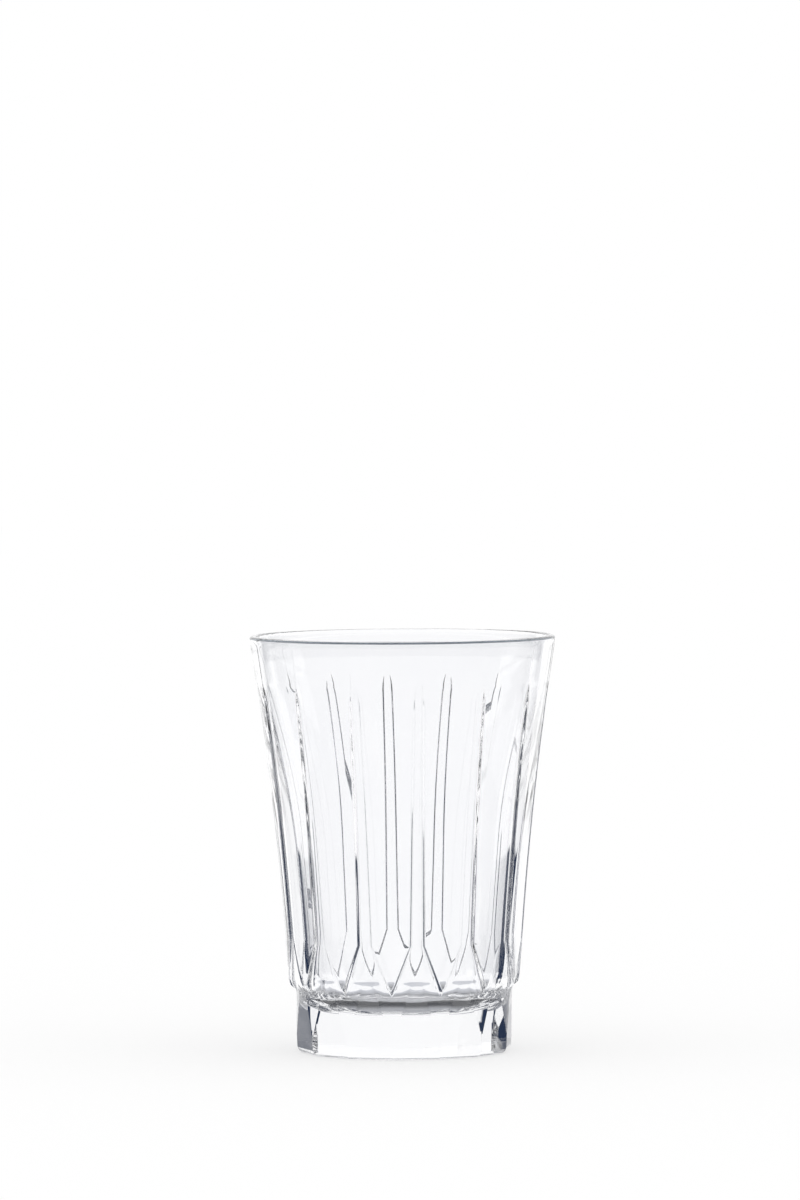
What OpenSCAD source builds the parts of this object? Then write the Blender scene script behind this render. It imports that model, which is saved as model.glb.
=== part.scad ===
// Pressed water glass: a flared bowl of pointed panels with grooves between them, on a faceted solid foot.
// The whole glass is one piece of clear glass. It stands on the table plane z = 0, with its axis on Z
// and the middle of one panel facing -Y.

/* [Overall] */
// Height from the table to the top of the rim
glass_h = 98; // [92:1:104]
// Diameter over the rim
rim_od = 72; // [68:1:76]
// Thickness of the rounded rim
rim_t = 2.2; // [1.8:0.1:2.8]

/* [Bowl] */
// Height above the table at which the bowl passes into the foot
bowl_z = 14.4; // [13:0.2:17]
// Diameter over the panels at the lower end of the bowl
bowl_d = 54.2; // [53:0.2:56]
// How far the outside wall is hollowed from a straight taper
wall_bow = 1.05; // [0.5:0.05:1.6]
// Height of the bevel between the panel points, where the grooves pass into the foot
bevel_h = 3.6; // [3:0.2:5]

/* [Inside] */
// Thickness of the glass under the inside floor
base_t = 9.8; // [8:0.2:12]
// Inside diameter at the height of the floor
floor_d = 43.4; // [41:0.2:45]
// How far the inside wall is hollowed from a straight taper
bore_bow = 2.2; // [1.6:0.1:2.8]
// Rounding between the inside wall and the floor
floor_r = 11.5; // [9:0.5:13]

/* [Grooves] */
// Number of panels round the bowl, and of grooves between them
panel_n = 14; // [12:1:16]
// Depth of the grooves below the panels
groove_depth = 0.5; // [0.3:0.05:0.7]
// Width of a groove at its upper end
groove_top_w = 2.2; // [1.6:0.1:3]
// Width of a groove where it starts to spread
groove_low_w = 3.2; // [2.4:0.1:4]
// Height of the plain band between the grooves and the top of the rim
rim_band = 13; // [10:0.5:16]
// Radius of the run-out that fades each groove into the plain band
runout_r = 10; // [6:1:20]
// Height of the pointed lower end of a panel
point_h = 12; // [9:0.5:16]
// Height of the panel points above the lower end of the bevel
point_lift = 0.4; // [0.3:0.1:1]

/* [Foot] */
// Diameter over the corners of the foot, at the lower end of the bowl
foot_d = 51.8; // [50:0.2:52.6]
// Lean of the flats of the foot, inward toward the table, in degrees
foot_lean = 2.4; // [1:0.2:4]
// Rounding of the lower edge of the flats
foot_edge_r = 1.6; // [1:0.2:2.4]
// Width of the corner cuts of the foot, at the lower end of the bowl
cut_w = 7; // [4:0.5:8]
// Height above the table of the lower tips of the corner cuts
cut_z = 4.4; // [3:0.2:7]

/* [Underside] */
// Diameter of the shallow hollow under the base
punt_d = 40; // [34:1:42]
// Depth of the shallow hollow under the base
punt_h = 1; // [0.6:0.1:1.6]

/* [Hidden] */

// Segments of the wide wall arcs, of the small section rounds and of the revolved bodies
arc_fn = 3600;
round_fn = 96;
turn_fn = 24 * panel_n;

pitch = 360 / panel_n;
lip_r = rim_t / 2;
// Reach of the cutting shapes past the glass, and the distance from the axis where the panels' shapes start
past = rim_od;
panel_from = 0.4 * bowl_d;
// Depth of the foot of the bevel behind the flats of the foot
bevel_sink = 0.1;

// Centre of a circle through p (lower) and q (upper) that bows by b away from the circle's far side
function chord(p, q) = norm(q - p);
function bow_r(p, q, b) = chord(p, q) * chord(p, q) / (8 * b) + b / 2;
function bow_centre(p, q, b) =
    (p + q) / 2 + (bow_r(p, q, b) - b) * [q.y - p.y, p.x - q.x] / chord(p, q);
// Point on the line from a toward b, at distance d from a
function toward(a, b, d) = a + d * (b - a) / norm(b - a);
// Radius from the axis at height z of the near side of a circle with centre c and radius r
function near_side(c, r, z) = c.x - sqrt(r * r - (z - c.y) * (z - c.y));

// Centre of the rounded rim, which both wall arcs touch
lip_c = [rim_od / 2 - lip_r, glass_h - lip_r];

// Outside wall: an arc hollowed toward the axis, from the lower end of the bowl to the rim
wall_foot = [bowl_d / 2 - lip_r, bowl_z];
wall_c = bow_centre(wall_foot, lip_c, wall_bow);
wall_r = bow_r(wall_foot, lip_c, wall_bow) - lip_r;
wall_top = toward(lip_c, wall_c, lip_r);
// Inside wall: a second arc, from the floor to the rim
bore_foot = [floor_d / 2 + lip_r, base_t];
bore_c = bow_centre(bore_foot, lip_c, bore_bow);
bore_r = bow_r(bore_foot, lip_c, bore_bow) + lip_r;
bore_top = toward(bore_c, lip_c, bore_r);
corner_z = base_t + floor_r;
corner_c = [near_side(bore_c, bore_r + floor_r, corner_z), corner_z];
bore_low = toward(corner_c, bore_c, floor_r);

// Floor of the grooves: the outside wall arc sunk by their depth, with a round run-out at the top and a
// bevel that leads into the flats of the foot at the bottom
groove_r = wall_r + groove_depth;
groove_top = glass_h - rim_band;
runout_z = groove_top - sqrt(2 * runout_r * groove_depth);
runout_p = [near_side(wall_c, groove_r, runout_z), runout_z];
runout_c = toward(runout_p, wall_c, runout_r);
// Plain band: a straight taper from the lower ends of the run-outs to the rim
band_p = [near_side(wall_c, wall_r, runout_z), runout_z];
band_low = band_p + (band_p - wall_top) / 4;
bevel_foot = [flat_at(bowl_z) - bevel_sink, bowl_z];
bevel_rise = [near_side(wall_c, groove_r, bowl_z + bevel_h), bowl_z + bevel_h] - bevel_foot;
bevel_low = bevel_foot - bevel_rise / 2;
bevel_far = bevel_foot + 2 * bevel_rise;
// Points of the panels, and the underside of the bowl, which the foot hides
point_z = bowl_z + point_lift;
bowl_low = bowl_z + point_lift / 2;
// Width of a panel at height z beside a groove of width w
function panel_w(z, w) = 2 * near_side(wall_c, wall_r, z) * sin(pitch / 2) - w * cos(pitch / 2);
panel_mid_z = (point_z + point_h + groove_top) / 2;
panel_low_w = panel_w(point_z + point_h, groove_low_w);
panel_mid_w = panel_w(panel_mid_z, (groove_low_w + groove_top_w) / 2);
panel_top_w = panel_w(groove_top, groove_top_w);

// Foot: flats whose corners lie under the panel points, and a slanted cut on each corner
foot_top = bowl_z + bevel_h / 2;
function flat_at(z) = foot_d / 2 * cos(pitch / 2) - (bowl_z - z) * tan(foot_lean);
cut_top = foot_d / 2 - cut_w / 2 * tan(pitch / 2);
cut_low = flat_at(cut_z) / cos(pitch / 2);
function cut_at(z) = cut_low + (cut_top - cut_low) * (z - cut_z) / (bowl_z - cut_z);
flat_edge_c = [flat_at(foot_edge_r) - foot_edge_r / cos(foot_lean), foot_edge_r];

// Underside: the hollow is a shallow cap of a sphere
punt_r = (punt_d * punt_d / 4 + punt_h * punt_h) / (2 * punt_h);

// Half section of the bowl at the level of the panels, before the inside is cut
module bowl_section() {
    difference() {
        translate([0, bowl_low]) square([past, groove_top - bowl_low]);
        translate(wall_c) circle(r = wall_r, $fn = arc_fn);
    }
    polygon([[0, band_low.y], band_low, wall_top, bore_top, [0, bore_top.y]]);
    translate(lip_c) circle(r = lip_r, $fn = round_fn);
}

// Half section of the inside
module bore_section() {
    difference() {
        polygon([[0, base_t], [corner_c.x, base_t], bore_low, [past, bore_low.y], [past, bore_top.y],
            [0, bore_top.y]]);
        translate(bore_c) circle(r = bore_r, $fn = arc_fn);
    }
    intersection() {
        translate(corner_c) circle(r = floor_r, $fn = round_fn);
        translate([0, base_t]) square([past, floor_r]);
    }
}

// Half section of the bowl at the level of the grooves' floors
module core_section() {
    difference() {
        polygon([[0, bevel_low.y], bevel_low, bevel_far, [past, bevel_far.y], [past, runout_z],
            [0, runout_z]]);
        translate(wall_c) circle(r = groove_r, $fn = arc_fn);
    }
    difference() {
        translate([0, runout_z]) square([runout_c.x, runout_r]);
        translate(runout_c) circle(r = runout_r, $fn = arc_fn);
    }
}

// Half section of the ring that the grooves are cut from
module groove_section() {
    difference() {
        translate([0, bevel_low.y]) square([past, groove_top - bevel_low.y]);
        core_section();
    }
}

// Outline of one panel, seen square on, with its point at the bottom
module panel_outline() {
    polygon([[0, point_z], [panel_low_w / 2, point_z + point_h], [panel_mid_w / 2, panel_mid_z],
        [panel_top_w / 2, groove_top], [panel_top_w / 2, glass_h], [-panel_top_w / 2, glass_h],
        [-panel_top_w / 2, groove_top], [-panel_mid_w / 2, panel_mid_z],
        [-panel_low_w / 2, point_z + point_h]]);
}

// All grooves: the ring less the panels that stand between them
module grooves() {
    difference() {
        rotate_extrude($fn = turn_fn) groove_section();
        for (i = [0 : panel_n - 1])
            rotate([0, 0, i * pitch])
                rotate([90, 0, 0])
                    translate([0, 0, panel_from]) linear_extrude(past) panel_outline();
    }
}

// Side view of one pair of flats of the foot, with the rounded lower edge
module flat_profile() {
    polygon([[-past, 0], [flat_edge_c.x, 0], flat_edge_c + foot_edge_r * [cos(foot_lean), -sin(foot_lean)],
        [flat_at(foot_top), foot_top], [-past, foot_top]]);
    translate(flat_edge_c) circle(r = foot_edge_r, $fn = round_fn);
}

// Side view of one corner cut of the foot
module cut_profile() {
    polygon([[-past, 0], [cut_at(0), 0], [cut_at(foot_top), foot_top], [-past, foot_top]]);
}

// Block of the foot: all flats and corner cuts in common
module foot() {
    intersection_for (i = [0 : panel_n - 1]) {
        rotate([0, 0, (i + 0.5) * pitch - 90])
            rotate([90, 0, 0])
                linear_extrude(2 * past, center = true) flat_profile();
        rotate([0, 0, i * pitch - 90])
            rotate([90, 0, 0])
                linear_extrude(2 * past, center = true) cut_profile();
    }
}

// The glass
module tumbler() {
    color([0.88, 0.93, 0.95, 0.6])
        difference() {
            union() {
                difference() {
                    rotate_extrude($fn = turn_fn) bowl_section();
                    grooves();
                }
                foot();
            }
            rotate_extrude($fn = turn_fn) bore_section();
            translate([0, 0, punt_h - punt_r]) sphere(r = punt_r, $fn = arc_fn / 10);
        }
}

tumbler();
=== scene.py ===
import math

import bpy
import numpy as np
from mathutils import Matrix, Vector


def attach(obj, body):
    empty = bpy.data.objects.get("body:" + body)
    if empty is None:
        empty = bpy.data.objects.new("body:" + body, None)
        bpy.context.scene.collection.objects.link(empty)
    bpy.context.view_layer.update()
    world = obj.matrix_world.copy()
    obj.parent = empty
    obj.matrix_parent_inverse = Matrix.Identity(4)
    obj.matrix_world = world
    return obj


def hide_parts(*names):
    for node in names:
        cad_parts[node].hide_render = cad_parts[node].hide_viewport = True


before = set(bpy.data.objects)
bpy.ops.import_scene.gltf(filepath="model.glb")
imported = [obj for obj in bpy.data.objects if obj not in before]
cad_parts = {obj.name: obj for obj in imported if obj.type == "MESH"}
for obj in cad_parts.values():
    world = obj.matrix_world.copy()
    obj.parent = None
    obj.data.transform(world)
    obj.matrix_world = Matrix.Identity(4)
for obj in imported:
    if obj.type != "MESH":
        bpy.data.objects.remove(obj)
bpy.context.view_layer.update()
scene = bpy.context.scene


# The glass: one pressed tumbler of clear soda-lime glass, with no joint anywhere. A plunger shapes the
# inside; the mould gives fourteen raised panels with grooves between them and the faceted foot; the rim is
# fire-polished round. Lengths in this section are in millimetres and heights are above the table.
MILLIMETRE = 0.001
PANELS = 14
HALF_PITCH = math.pi / PANELS
RIM_R, RIM_Z, LIP_R = 36.0, 98.0, 0.85
BOWL_R, BOWL_Z, WALL_BOW = 27.1, 14.4, 1.05
FLOOR_Z, FLOOR_CORNER_R = 9.8, 10.0
SIDE_THICK, THIN_LOW_Z, THIN_TOP_Z = 5.1, 48.0, 91.5
GROOVE_TOP_W, GROOVE_LOW_W, GROOVE_TOP_Z = 1.8, 2.8, 87.8
RUNOUT_H, RUNOUT_PINCH = 5.0, 0.3
GROOVE_HEIGHTS, GROOVE_DEPTHS = [14.8, 26.8, 56.0, 84.0], [0.9, 0.8, 0.8, 0.75]
WALL_SLOPE, ARRIS, FILLET = math.radians(65), 0.10, 0.20
POINT_Z, POINT_H, POINT_FADE = 14.8, 12.0, 0.6
FOOT_R, FOOT_LEAN, FOOT_EDGE_R = 25.9, math.radians(2.4), 1.6
FOOT_TOP_Z, GROOVE_FOOT_Z, SKIN_LOW_Z = 13.0, 18.0, 13.4
CUT_W, CUT_TIP_Z, FOOT_SOFT = 7.0, 4.4, 0.015
HOLLOW_R, HOLLOW_H = 20.0, 1.0


def bowed_arc(low, high, bow):
    """Circle through two points of the half section that hollows by bow from their chord.
    Its radius is chord2 / 8 bow + bow / 2, and its centre lies square to the chord's middle."""
    low, high = np.array(low), np.array(high)
    chord = np.hypot(*(high - low))
    radius = chord**2 / (8 * bow) + bow / 2
    across = np.array([high[1] - low[1], low[0] - high[0]]) / chord
    return (low + high) / 2 + (radius - bow) * across, radius


def near_side(centre, radius, z):
    """Distance from the axis of the near side of a circle at height z: centre minus the root of r2 - dz2."""
    return centre[0] - np.sqrt(radius**2 - (z - centre[1]) ** 2)


def smooth_step(t):
    """Zero below 0 and one above 1, with the cubic 3t2 - 2t3 between."""
    t = np.clip(t, 0, 1)
    return t * t * (3 - 2 * t)


def soft_least(a, b, reach):
    """The smaller of two lengths, with the corner between them rounded off over about reach:
    half of their sum less the root of their difference squared plus reach squared."""
    return (a + b - np.sqrt((a - b) ** 2 + reach**2)) / 2


lip_centre = np.array([RIM_R - LIP_R, RIM_Z - LIP_R])
wall_centre, wall_radius = bowed_arc([BOWL_R - LIP_R, BOWL_Z], lip_centre, WALL_BOW)
wall_radius = wall_radius - LIP_R
spread_w = 2 * BOWL_R * math.sin(HALF_PITCH)
point_slant = math.cos(math.atan((spread_w - GROOVE_LOW_W) / 2 / POINT_H))


def bore_of_glass(z):
    """Distance from the axis to the inside wall at height z: the outside wall less the thickness of glass,
    which is even below and thins to the rim above."""
    thinning = smooth_step((THIN_TOP_Z - z) / (THIN_TOP_Z - THIN_LOW_Z))
    return near_side(wall_centre, wall_radius, z) - 2 * LIP_R - (SIDE_THICK - 2 * LIP_R) * thinning


def round_rows(centre, radius, start, end, count):
    """Points on a small round of the half section, from one bearing to another in degrees."""
    bearing = np.radians(np.linspace(start, end, count))
    return centre[0] + radius * np.cos(bearing), centre[1] + radius * np.sin(bearing)


def flat_of_foot(z):
    """Distance from the axis to the flats of the foot at height z, leaning inward toward the table."""
    return FOOT_R * math.cos(HALF_PITCH) - (BOWL_Z - z) * math.tan(FOOT_LEAN)


def cut_of_foot(z):
    """Distance from the axis to the slanted corner cuts of the foot at height z: a straight line from the
    corner at the cut's lower tip to the cut's full width under the bowl."""
    top = FOOT_R - CUT_W / 2 * math.tan(HALF_PITCH)
    low = flat_of_foot(CUT_TIP_Z) / math.cos(HALF_PITCH)
    return low + (top - low) * (z - CUT_TIP_Z) / (BOWL_Z - CUT_TIP_Z)


def runout(z):
    """How far the upper run-out of a groove has come at height z: zero below it, one at its end."""
    return smooth_step((z - GROOVE_TOP_Z + RUNOUT_H) / RUNOUT_H)


def groove_half(z):
    """Half width of a groove at height z: it grows downward, spreads to the full pitch at the panels' points,
    and pinches in a little where it runs out at its upper end."""
    heights = [POINT_Z, POINT_Z + POINT_H, GROOVE_TOP_Z]
    halves = [spread_w / 2, GROOVE_LOW_W / 2, GROOVE_TOP_W / 2]
    return np.interp(z, heights, halves) * (1 - RUNOUT_PINCH * runout(z))


# Columns in half a pitch, from a groove's middle outward: plain strip, edge of the corner cut, plain strip,
# side wall of the groove, panel. In rows that are plain circles the bands have set shares of the half pitch.
BAND_COLUMNS = [2, 3, 2, 10, 4]
EVEN_CUT, EVEN_CUT_W, EVEN_WALL, EVEN_WALL_W = 0.25, 0.2, 0.65, 0.4
# Width of the wall's band as a multiple of the slope's own, the least depth that counts, and a margin. Then
# its shift toward the panel and its least distances from the two middles, as shares of its width.
WALL_BAND, WALL_LEAST_DEPTH, WALL_MARGIN = 1.3, 0.4, 0.25
WALL_SHIFT, WALL_FROM_GROOVE, WALL_FROM_PANEL = 0.3, 0.55, 0.52
# Angle to which the wall's band narrows at the foot's corners, and width of the band at the cut's edge. Then
# the limits of its place, as shares of the half pitch and of the way to the wall, and of its width, as shares
# of the room on its two sides.
CORNER_TURN, CUT_EDGE_W = 0.008, 0.3
CUT_LEAST, CUT_MOST, CUT_REACH_FOOT, CUT_REACH_BOWL = 0.2, 0.96, 0.98, 0.6
CUT_ROOM_INWARD, CUT_ROOM_OUTWARD = 1.2, 1.8


def column_angles(cut, cut_width, wall, wall_width):
    """Angle of every column from its groove's middle. Columns gather at the edge of the foot's corner cut and
    at the groove's side wall, whose angles and widths are given for each row, and are even between them."""
    stops = [0 * cut, cut - cut_width / 2, cut + cut_width / 2]
    stops += [wall - wall_width / 2, wall + wall_width / 2, 0 * cut + HALF_PITCH]
    bands = zip(stops, stops[1:], BAND_COLUMNS)
    half = [a[:, None] + (b - a)[:, None] * np.arange(n) / n for a, b, n in bands]
    half = np.hstack(half + [stops[-1][:, None]])
    return np.hstack([-half[:, :0:-1], half[:, :-1]])


def outside_columns(flat, z, skin, half, depth):
    """Angles of the columns of the outside: beside the corner cuts and corners of the foot in its rows, and
    beside the sloped sides of the panels in the rows above."""
    slope_w = np.maximum(depth, WALL_LEAST_DEPTH) / math.tan(WALL_SLOPE)
    wall = (WALL_BAND * slope_w + WALL_MARGIN) / skin
    wall = CORNER_TURN + (wall - CORNER_TURN) * smooth_step((z - FOOT_TOP_Z) / (POINT_Z - FOOT_TOP_Z))
    wall_edge = half / skin + WALL_SHIFT * wall
    wall_edge = np.clip(wall_edge, WALL_FROM_GROOVE * wall, HALF_PITCH - WALL_FROM_PANEL * wall)
    wall_low = wall_edge - wall / 2
    cut_edge = np.arctan2(cut_of_foot(z) - flat * math.cos(HALF_PITCH), flat * math.sin(HALF_PITCH))
    cut_edge = np.clip(cut_edge, CUT_LEAST * HALF_PITCH, CUT_MOST * HALF_PITCH)
    cut_edge = np.minimum(cut_edge, wall_low * np.where(z < FOOT_TOP_Z, CUT_REACH_FOOT, CUT_REACH_BOWL))
    room = np.minimum(CUT_ROOM_INWARD * cut_edge, CUT_ROOM_OUTWARD * (wall_low - cut_edge))
    return column_angles(cut_edge, np.minimum(CUT_EDGE_W / flat, room), wall_edge, wall)


def outside_rows(flat, z):
    """Rows of the outside below the rim. At each angle the foot is the nearest of the flat, its neighbour and
    the corner cut. It blends upward into the groove's floor, and the panel stands on that with sloped
    sides."""
    skin = near_side(wall_centre, wall_radius, np.maximum(z, SKIN_LOW_Z))
    half = groove_half(z)
    depth = np.interp(z, GROOVE_HEIGHTS, GROOVE_DEPTHS) * (1 - runout(z))
    angle = outside_columns(flat, z, skin, half, depth)
    turn = np.abs(angle)
    near_flat, next_flat = flat[:, None] / np.cos(turn), flat[:, None] / np.cos(2 * HALF_PITCH - turn)
    corner_cut = cut_of_foot(z)[:, None] / np.cos(HALF_PITCH - turn)
    faces = soft_least(soft_least(near_flat, next_flat, FOOT_SOFT), corner_cut, FOOT_SOFT)
    blend = smooth_step((z - FOOT_TOP_Z) / (GROOVE_FOOT_Z - FOOT_TOP_Z))[:, None]
    floor = faces + ((skin - depth)[:, None] - faces) * blend
    slant = np.where(z < POINT_Z + POINT_H, point_slant, 1)[:, None]
    ramp = (turn * skin[:, None] - half[:, None]) * slant * math.tan(WALL_SLOPE)
    ramp = (ramp + np.sqrt(ramp**2 + FILLET**2)) / 2
    tall = np.clip(skin[:, None] - floor, 0, None)
    sides = soft_least(ramp, tall, ARRIS) - soft_least(0 * tall, tall, ARRIS)
    shown = smooth_step((z - POINT_Z + POINT_FADE) / POINT_FADE)[:, None]
    return angle, floor + np.clip(sides, 0, None) * shown, np.broadcast_to(z[:, None], angle.shape)


def turned_rows(r, z):
    """Rows that are plain circles of radius r at height z."""
    even = np.full(len(r), HALF_PITCH)
    angle = column_angles(EVEN_CUT * even, EVEN_CUT_W * even, EVEN_WALL * even, EVEN_WALL_W * even)
    return angle, np.broadcast_to(r[:, None], angle.shape), np.broadcast_to(z[:, None], angle.shape)


def slope_along(before, after):
    """Direction of a curve at its middle point: the two steps beside it, each weighted by the other's length.
    The tiny length keeps the rows at the axis, whose steps round it have none, from dividing by zero."""
    tiny = 1e-9
    near, far = (np.linalg.norm(step, axis=2, keepdims=True) + tiny for step in (before, after))
    return before / near * far + after / far * near


# The half section, row by row: the hollow underneath from the axis outward, the rounded heel, the outside up
# to the rim, over the lip, down the inside, round its corner and along the floor back to the axis.
HOLLOW_ROWS, HEEL_ROWS, LIP_ROWS, BORE_ROWS, CORNER_ROWS, FLOOR_ROWS = 6, 7, 15, 19, 12, 4
SIDE_ROWS = [2, 5, 16, 14, 48, 14, 8]
LIP_START, LIP_END = -4, 186
hollow_r = np.linspace(0, HOLLOW_R, HOLLOW_ROWS)
hollow_ball = (HOLLOW_R**2 + HOLLOW_H**2) / (2 * HOLLOW_H)
hollow_z = HOLLOW_H - hollow_ball + np.sqrt(hollow_ball**2 - hollow_r**2)
heel_centre = np.array([flat_of_foot(FOOT_EDGE_R) - FOOT_EDGE_R / math.cos(FOOT_LEAN), FOOT_EDGE_R])
heel_r, heel_z = round_rows(heel_centre, FOOT_EDGE_R, -90, -math.degrees(FOOT_LEAN), HEEL_ROWS)
side_stops = [heel_z[-1], CUT_TIP_Z, FOOT_TOP_Z, GROOVE_FOOT_Z, POINT_Z + POINT_H]
side_stops += [GROOVE_TOP_Z - RUNOUT_H, GROOVE_TOP_Z, lip_centre[1]]
side_spans = zip(side_stops, side_stops[1:], SIDE_ROWS)
side_z = np.concatenate([np.linspace(a, b, n + 1)[1:] for a, b, n in side_spans])[:-1]
lip_r, lip_z = round_rows(lip_centre, LIP_R, LIP_START, LIP_END, LIP_ROWS)
corner_z = FLOOR_Z + FLOOR_CORNER_R
bore_z = np.linspace(lip_centre[1], corner_z, BORE_ROWS)[1:-1]
corner_centre = np.array([bore_of_glass(corner_z) - FLOOR_CORNER_R, corner_z])
curve_r, curve_z = round_rows(corner_centre, FLOOR_CORNER_R, 0, -90, CORNER_ROWS)
floor_r = np.linspace(corner_centre[0], 0, FLOOR_ROWS)[1:]
groups = [
    turned_rows(hollow_r, hollow_z),
    outside_rows(heel_r, heel_z),
    outside_rows(flat_of_foot(side_z), side_z),
    turned_rows(lip_r, lip_z),
    turned_rows(bore_of_glass(bore_z), bore_z),
    turned_rows(curve_r, curve_z),
    turned_rows(floor_r, np.full(len(floor_r), FLOOR_Z)),
]

# The section carried round the axis, one pitch after another. The first and last rows lie on the axis, and
# each becomes one point that closes the mesh. The normals come from the grid's own slopes.
angle, radius, height = (np.vstack([group[k] for group in groups]) for k in range(3))
pitch_turn = (np.arange(PANELS) + 0.5) * 2 * HALF_PITCH
bearing = (pitch_turn[None, :, None] + angle[:, None, :]).reshape(len(angle), -1)
radius = np.tile(radius, (1, PANELS))
height = np.tile(height, (1, PANELS))
points = np.dstack([radius * np.sin(bearing), -radius * np.cos(bearing), height]) * MILLIMETRE
rows, columns = radius.shape
inner = points[1:-1].reshape(-1, 3)
vertices = np.vstack([inner, points[0, :1], points[-1, :1]])
around = slope_along(points - np.roll(points, 1, axis=1), np.roll(points, -1, axis=1) - points)
upward = slope_along(points[1:-1] - points[:-2], points[2:] - points[1:-1])
facing = np.cross(around[1:-1], upward).reshape(-1, 3)
facing = np.vstack([facing / np.linalg.norm(facing, axis=1, keepdims=True), [(0, 0, -1), (0, 0, 1)]])
grid = np.arange((rows - 2) * columns).reshape(rows - 2, columns)
beside = np.roll(grid, -1, axis=1)
quads = np.stack([grid[:-1], beside[:-1], beside[1:], grid[1:]], axis=-1).reshape(-1, 4)
low_pole, high_pole = len(inner), len(inner) + 1
low_fan = np.stack([beside[0], grid[0], np.full(columns, low_pole)], axis=-1)
high_fan = np.stack([grid[-1], beside[-1], np.full(columns, high_pole)], axis=-1)
glass_mesh = bpy.data.meshes.new("water_glass")
glass_mesh.from_pydata(vertices.tolist(), [], quads.tolist() + low_fan.tolist() + high_fan.tolist())
glass_mesh.shade_smooth()
glass_mesh.validate()
glass_mesh.normals_split_custom_set_from_vertices(facing.tolist())
glass = bpy.data.objects.new("water_glass", glass_mesh)
scene.collection.objects.link(glass)

# Clear glass, nearly colourless, with a faint cloud in its tint.
GLASS_IOR = 1.52
TINT_DEEP, TINT_PALE = (0.965, 0.968, 0.98, 1), (0.98, 0.982, 0.99, 1)
CLOUD_SCALE, CLOUD_DETAIL, CLOUD_SPOTS = 60.0, 2.0, (0.3, 0.7)
WHITE = (1, 1, 1, 1)
clear_glass = bpy.data.materials.new("clear_pressed_glass")
clear_glass.use_nodes = True
nodes, links = clear_glass.node_tree.nodes, clear_glass.node_tree.links
nodes.clear()
surface = nodes.new("ShaderNodeOutputMaterial")
shader = nodes.new("ShaderNodeBsdfPrincipled")
shader.inputs["Transmission Weight"].default_value = 1.0
shader.inputs["IOR"].default_value = GLASS_IOR
shader.inputs["Roughness"].default_value = 0.0
links.new(shader.outputs["BSDF"], surface.inputs["Surface"])
place = nodes.new("ShaderNodeTexCoord")
cloud = nodes.new("ShaderNodeTexNoise")
cloud.inputs["Scale"].default_value = CLOUD_SCALE
cloud.inputs["Detail"].default_value = CLOUD_DETAIL
tint = nodes.new("ShaderNodeValToRGB")
for element, spot, colour in zip(tint.color_ramp.elements, CLOUD_SPOTS, (TINT_DEEP, TINT_PALE)):
    element.position, element.color = spot, colour
links.new(place.outputs["Object"], cloud.inputs["Vector"])
links.new(cloud.outputs["Fac"], tint.inputs["Fac"])

# Painted shade: the outer shoulder of the lip is darkened in the glass's colour. This stands for the dark
# line that the rim shows by bending light. Its bearing from the middle of the lip, in radians above the
# level, picks the shade.
LIP_TURNS, LIP_PAINTED_SHADE = [0.12, 0.25, 0.85, 1.0], (0.05, 0.062, 0.078, 1)
level_part = nodes.new("ShaderNodeVectorMath")
level_part.operation = "MULTIPLY"
level_part.inputs[1].default_value = (1, 1, 0)
from_axis = nodes.new("ShaderNodeVectorMath")
from_axis.operation = "LENGTH"
upright_part = nodes.new("ShaderNodeSeparateXYZ")
lip_out, lip_up, lip_turn = (nodes.new("ShaderNodeMath") for _ in range(3))
lip_out.operation, lip_up.operation, lip_turn.operation = "SUBTRACT", "SUBTRACT", "ARCTAN2"
lip_out.inputs[1].default_value = lip_centre[0] * MILLIMETRE
lip_up.inputs[1].default_value = lip_centre[1] * MILLIMETRE
# Painted shade along the lip: white at both ends of the ramp, dark between.
painted_lip_line = nodes.new("ShaderNodeValToRGB")
for element, spot in zip(painted_lip_line.color_ramp.elements, (LIP_TURNS[0], LIP_TURNS[3])):
    element.position, element.color = spot, WHITE
for spot in LIP_TURNS[1:3]:
    painted_lip_line.color_ramp.elements.new(spot).color = LIP_PAINTED_SHADE
lip_mix = nodes.new("ShaderNodeMix")
lip_mix.data_type, lip_mix.blend_type = "RGBA", "MULTIPLY"
lip_mix.inputs["Factor"].default_value = 1.0
links.new(place.outputs["Object"], level_part.inputs[0])
links.new(level_part.outputs["Vector"], from_axis.inputs[0])
links.new(place.outputs["Object"], upright_part.inputs["Vector"])
links.new(from_axis.outputs["Value"], lip_out.inputs[0])
links.new(upright_part.outputs["Z"], lip_up.inputs[0])
links.new(lip_up.outputs["Value"], lip_turn.inputs[0])
links.new(lip_out.outputs["Value"], lip_turn.inputs[1])
links.new(lip_turn.outputs["Value"], painted_lip_line.inputs["Fac"])
links.new(tint.outputs["Color"], lip_mix.inputs["A"])
links.new(painted_lip_line.outputs["Color"], lip_mix.inputs["B"])
links.new(lip_mix.outputs["Result"], shader.inputs["Base Color"])
glass_mesh.materials.append(clear_glass)
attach(glass, "root")
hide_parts("tumbler")


# The table: plain white matt board that the glass stands on, with a soft shadow. It is in two pieces: light
# through the glass meets the round under it, which shows it a painted shadow in set circles of grey, darkest
# under the edge of the foot, and passes the rest of the board to the tent. Lengths from here on are in
# metres.
BOARD_MIDDLE, BOARD_NEAR, BOARD_FAR = 0.0001, 0.042, 4.0
BOARD_SIDES, BOARD_DROP = 64, 0.00005
BOARD_ALBEDO = 0.4
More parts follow.
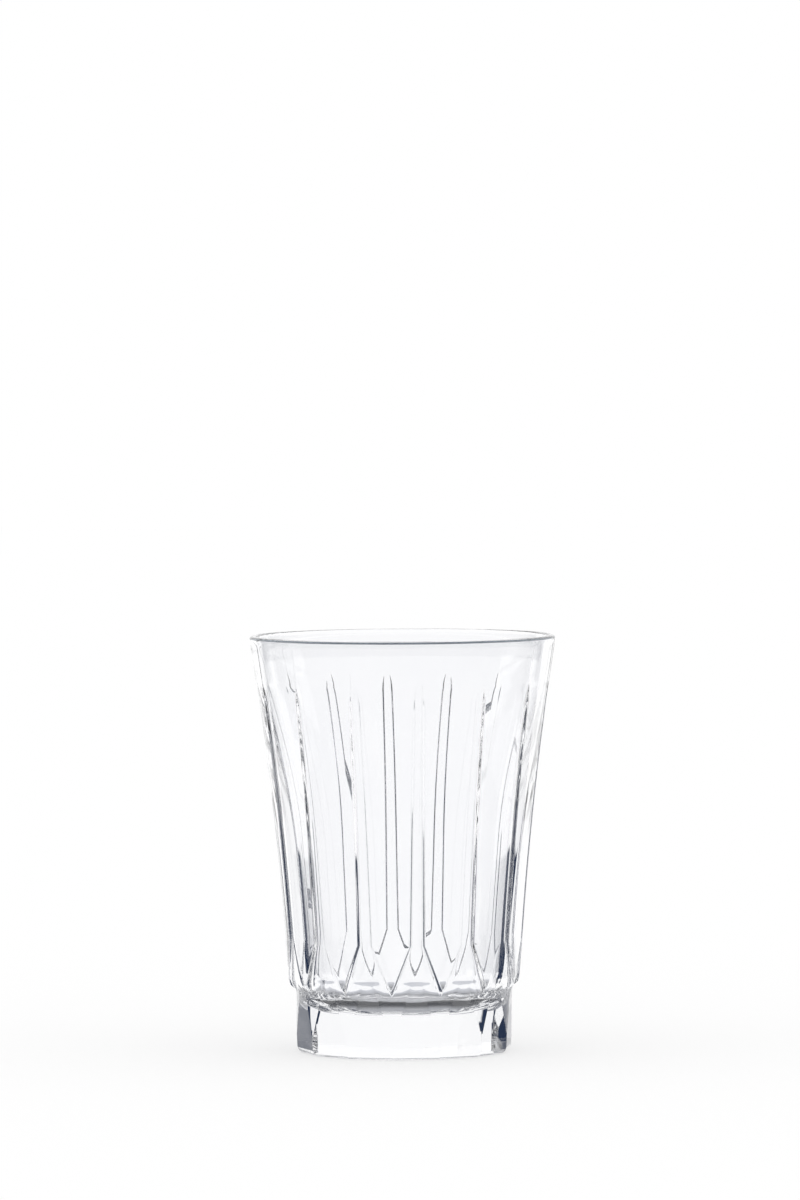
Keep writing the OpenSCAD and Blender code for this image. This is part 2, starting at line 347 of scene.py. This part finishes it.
# Painted shadow: greys by distance from the axis, as shares of the near round, tinted a little blue.
PAINTED_SHADOW_STOPS = [(0.0, 0.40), (0.30, 0.40), (0.42, 0.10), (0.56, 0.10), (0.66, 0.40), (1.0, 0.70)]
PAINTED_SHADOW_TINT = (1.0, 1.02, 1.08)
white_board = bpy.data.materials.new("white_board")
white_board.use_nodes = True
nodes, links = white_board.node_tree.nodes, white_board.node_tree.links
nodes.clear()
surface = nodes.new("ShaderNodeOutputMaterial")
matt = nodes.new("ShaderNodeBsdfDiffuse")
matt.inputs["Color"].default_value = (BOARD_ALBEDO, BOARD_ALBEDO, BOARD_ALBEDO, 1)
glow = nodes.new("ShaderNodeEmission")
glow.inputs["Strength"].default_value = 1 - BOARD_ALBEDO
both = nodes.new("ShaderNodeAddShader")
links.new(matt.outputs["BSDF"], both.inputs[0])
links.new(glow.outputs["Emission"], both.inputs[1])
where = nodes.new("ShaderNodeTexCoord")
reach = nodes.new("ShaderNodeVectorMath")
reach.operation = "LENGTH"
share = nodes.new("ShaderNodeMath")
share.operation = "DIVIDE"
share.inputs[1].default_value = BOARD_NEAR
# Painted shadow: the round under the glass glows in these greys for light that comes through the glass.
painted_shadow_ramp = nodes.new("ShaderNodeValToRGB")
for spot, _ in PAINTED_SHADOW_STOPS[1:-1]:
    painted_shadow_ramp.color_ramp.elements.new(spot)
for element, (spot, grey) in zip(painted_shadow_ramp.color_ramp.elements, PAINTED_SHADOW_STOPS):
    element.position, element.color = spot, (*(grey * part for part in PAINTED_SHADOW_TINT), 1)
painted_shadow_glow = nodes.new("ShaderNodeEmission")
seen = nodes.new("ShaderNodeLightPath")
pick = nodes.new("ShaderNodeMixShader")
links.new(where.outputs["Object"], reach.inputs[0])
links.new(reach.outputs["Value"], share.inputs[0])
links.new(share.outputs["Value"], painted_shadow_ramp.inputs["Fac"])
links.new(painted_shadow_ramp.outputs["Color"], painted_shadow_glow.inputs["Color"])
links.new(seen.outputs["Is Transmission Ray"], pick.inputs["Fac"])
links.new(both.outputs["Shader"], pick.inputs[1])
links.new(painted_shadow_glow.outputs["Emission"], pick.inputs[2])
links.new(pick.outputs["Shader"], surface.inputs["Surface"])


def board_ring(name, radii):
    """Flat ring of board between two radii, as rows of points on circles just below the table plane."""
    turn = np.linspace(0, 2 * math.pi, BOARD_SIDES, endpoint=False)
    level = np.full(BOARD_SIDES, -BOARD_DROP)
    circles = np.array([[r * np.cos(turn), r * np.sin(turn), level] for r in radii])
    grid = np.arange(len(radii) * BOARD_SIDES).reshape(len(radii), BOARD_SIDES)
    beside = np.roll(grid, -1, axis=1)
    faces = np.stack([grid[:-1], grid[1:], beside[1:], beside[:-1]], axis=-1).reshape(-1, 4)
    mesh = bpy.data.meshes.new(name)
    mesh.from_pydata(circles.transpose(0, 2, 1).reshape(-1, 3).tolist(), [], faces.tolist())
    mesh.materials.append(white_board)
    board = bpy.data.objects.new(name, mesh)
    scene.collection.objects.link(board)
    return board


board_ring("board_under_glass", [BOARD_MIDDLE, BOARD_NEAR])
far_board = board_ring("board_around", [BOARD_NEAR, BOARD_FAR])
far_board.visible_transmission = False
far_board.visible_glossy = False


# The light: a white tent round the table, seen as plain white by the eye. Light that comes through the glass
# or off it meets a white backdrop, the white table and a white top behind, and between them a dark room that
# draws the edges of the glass.
VIEW_AZIMUTH = math.radians(90 / PANELS)
BACKDROP_HALF, BACKDROP_SOFT = math.radians(44.5), math.radians(0.6)
SIDE_LOW, SIDE_TOP, SIDE_SOFT = math.radians(-10), math.radians(9), math.radians(1)
DARK_SIDE = (0.020, 0.032, 0.065, 1)
GLASS_LIGHT = 1.07
THROUGH_BOUNCES, GLOSS_BOUNCES = 32, 16
tent = bpy.data.worlds.new("white_tent")
scene.world = tent
tent.use_nodes = True
nodes, links = tent.node_tree.nodes, tent.node_tree.links
nodes.clear()


def tent_math(operation, *values, clamp=False):
    """One Math node of the tent's pattern, fed by sockets or plain numbers."""
    node = nodes.new("ShaderNodeMath")
    node.operation = operation
    node.use_clamp = clamp
    for socket, value in zip(node.inputs, values):
        if isinstance(value, bpy.types.NodeSocket):
            links.new(value, socket)
        else:
            socket.default_value = value
    return node.outputs[0]


direction = nodes.new("ShaderNodeTexCoord")
parts = nodes.new("ShaderNodeSeparateXYZ")
links.new(direction.outputs["Generated"], parts.inputs["Vector"])
azimuth = tent_math("ARCTAN2", parts.outputs["X"], tent_math("MULTIPLY", parts.outputs["Y"], -1.0))
off = tent_math("PINGPONG", tent_math("SUBTRACT", azimuth, VIEW_AZIMUTH), math.pi)
rise = tent_math("ARCSINE", parts.outputs["Z"])
past_edge = tent_math("SUBTRACT", off, math.pi - BACKDROP_HALF)
backdrop = tent_math("DIVIDE", past_edge, BACKDROP_SOFT, clamp=True)
below = tent_math("DIVIDE", tent_math("SUBTRACT", SIDE_LOW, rise), SIDE_SOFT, clamp=True)
above = tent_math("DIVIDE", tent_math("SUBTRACT", rise, SIDE_TOP), SIDE_SOFT, clamp=True)
top_behind = tent_math("MULTIPLY", above, tent_math("GREATER_THAN", off, math.pi / 2))
bright = tent_math("MAXIMUM", backdrop, tent_math("MAXIMUM", below, top_behind))
path = nodes.new("ShaderNodeLightPath")
by_glass = tent_math("MAXIMUM", path.outputs["Is Transmission Ray"], path.outputs["Is Glossy Ray"])
shade = nodes.new("ShaderNodeMix")
shade.data_type = "RGBA"
shade.inputs["A"].default_value = WHITE
shade.inputs["B"].default_value = DARK_SIDE
links.new(tent_math("MULTIPLY", by_glass, tent_math("SUBTRACT", 1.0, bright)), shade.inputs["Factor"])
cloth = nodes.new("ShaderNodeBackground")
links.new(shade.outputs["Result"], cloth.inputs["Color"])
strength = tent_math("ADD", tent_math("MULTIPLY", by_glass, GLASS_LIGHT - 1), 1.0)
links.new(strength, cloth.inputs["Strength"])
sky = nodes.new("ShaderNodeOutputWorld")
links.new(cloth.outputs["Background"], sky.inputs["Surface"])
scene.cycles.max_bounces = THROUGH_BOUNCES
scene.cycles.transmission_bounces = THROUGH_BOUNCES
scene.cycles.glossy_bounces = GLOSS_BOUNCES
scene.view_settings.view_transform = "Standard"


# The camera: a long lens two metres off, a little above the rim and looking slightly down. It stands a
# quarter of a pitch round from the middle of the front panel.
CAMERA_FAR, CAMERA_SIDE, CAMERA_Z = 2.0, -0.0005, 0.1849
CAMERA_DOWN, CAMERA_ROLL = math.radians(2.2525), math.radians(0.3)
CAMERA_LENS, CAMERA_SENSOR, CAMERA_END = 255.4, 36.0, 20.0
lens = bpy.data.cameras.new("camera")
lens.lens = CAMERA_LENS
lens.sensor_width = CAMERA_SENSOR
lens.clip_end = CAMERA_END
camera = bpy.data.objects.new("camera", lens)
scene.collection.objects.link(camera)
sight = Vector((-math.sin(VIEW_AZIMUTH), math.cos(VIEW_AZIMUTH), 0))
aside = Vector((math.cos(VIEW_AZIMUTH), math.sin(VIEW_AZIMUTH), 0))
camera.matrix_world = (
    Matrix.Translation(-CAMERA_FAR * sight + CAMERA_SIDE * aside + Vector((0, 0, CAMERA_Z)))
    @ Matrix.Rotation(VIEW_AZIMUTH, 4, "Z")
    @ Matrix.Rotation(math.pi / 2 - CAMERA_DOWN, 4, "X")
    @ Matrix.Rotation(-CAMERA_ROLL, 4, "Z")
)
scene.camera = camera
